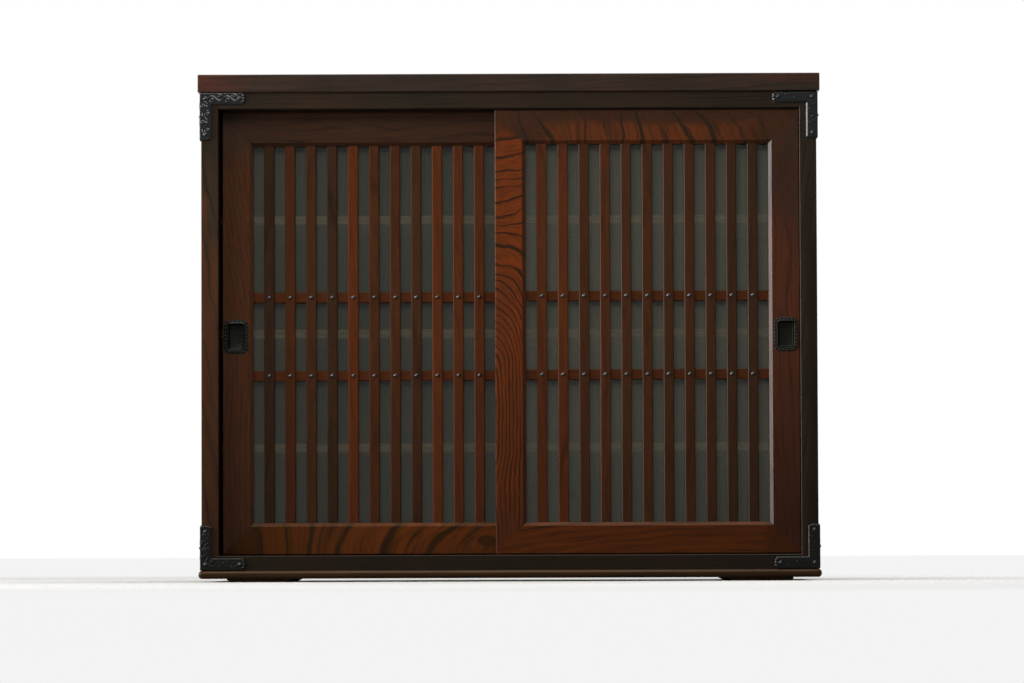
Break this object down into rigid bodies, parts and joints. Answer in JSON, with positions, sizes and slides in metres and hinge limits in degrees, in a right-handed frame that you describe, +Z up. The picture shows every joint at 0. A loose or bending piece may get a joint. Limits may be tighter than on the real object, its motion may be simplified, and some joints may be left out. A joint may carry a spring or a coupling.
{
  "type": "mizuya kitchen cabinet",
  "caption": "Low wooden kitchen cabinet with sliding lattice doors over clear glass, inside shelves, recessed iron pulls and black corner irons.",
  "frame": {"origin": "on the floor, in the middle of the footprint", "axes": "+Z up, front towards -Y, +X to the right seen from the front"},
  "size_m": [0.91, 0.4, 0.742],
  "materials": {
    "case_wood": "dark brown lacquer, satin, faint grain",
    "door_wood": "reddish brown lacquer over bold growth rings, satin",
    "lattice_wood": "reddish brown lacquer, straight fine grain, satin",
    "inside_wood": "plain brown wood, matt",
    "runner_wood": "plain brown wood, matt",
    "black_iron": "hammered, black lacquer",
    "nails": "black, worn bright on the crowns",
    "pull_iron": "black lacquer, satin",
    "studs": "dark bronzed, polished crowns",
    "clear_glass": "clear, polished"
  },
  "bodies": {
    "case": {"back_panel": "inside_wood", "bottom_board": "case_wood", "bottom_left_corner_iron": "black_iron", "bottom_right_corner_iron": "black_iron", "case_top_rail": "case_wood", "iron_nails": "nails", "left_runner": "runner_wood", "left_side": "case_wood", "lower_shelf": "inside_wood", "middle_shelf": "inside_wood", "right_runner": "runner_wood", "right_side": "case_wood", "shelf_cleats": "inside_wood", "sill": "case_wood", "top_board": "case_wood", "top_left_corner_iron": "black_iron", "top_right_corner_iron": "black_iron", "upper_shelf": "inside_wood"},
    "left_door": {"left_door_bar_1": "lattice_wood", "left_door_bar_10": "lattice_wood", "left_door_bar_11": "lattice_wood", "left_door_bar_2": "lattice_wood", "left_door_bar_3": "lattice_wood", "left_door_bar_4": "lattice_wood", "left_door_bar_5": "lattice_wood", "left_door_bar_6": "lattice_wood", "left_door_bar_7": "lattice_wood", "left_door_bar_8": "lattice_wood", "left_door_bar_9": "lattice_wood", "left_door_bottom_rail": "door_wood", "left_door_glass": "clear_glass", "left_door_glazing_beads": "door_wood", "left_door_left_stile": "door_wood", "left_door_lower_lattice_rail": "lattice_wood", "left_door_pull": "pull_iron", "left_door_right_stile": "door_wood", "left_door_studs": "studs", "left_door_top_rail": "door_wood", "left_door_upper_lattice_rail": "lattice_wood"},
    "right_door": {"right_door_bar_1": "lattice_wood", "right_door_bar_10": "lattice_wood", "right_door_bar_11": "lattice_wood", "right_door_bar_2": "lattice_wood", "right_door_bar_3": "lattice_wood", "right_door_bar_4": "lattice_wood", "right_door_bar_5": "lattice_wood", "right_door_bar_6": "lattice_wood", "right_door_bar_7": "lattice_wood", "right_door_bar_8": "lattice_wood", "right_door_bar_9": "lattice_wood", "right_door_bottom_rail": "door_wood", "right_door_glass": "clear_glass", "right_door_glazing_beads": "door_wood", "right_door_left_stile": "door_wood", "right_door_lower_lattice_rail": "lattice_wood", "right_door_pull": "pull_iron", "right_door_right_stile": "door_wood", "right_door_studs": "studs", "right_door_top_rail": "door_wood", "right_door_upper_lattice_rail": "lattice_wood"}
  },
  "joints": [
    {"name": "left_door_slide", "type": "slide", "parent": "case", "child": "left_door", "axis": [1, 0, 0], "range_m": [-0.004, 0.4001]},
    {"name": "right_door_slide", "type": "slide", "parent": "case", "child": "right_door", "axis": [1, 0, 0], "range_m": [-0.404, 0]}
  ]
}
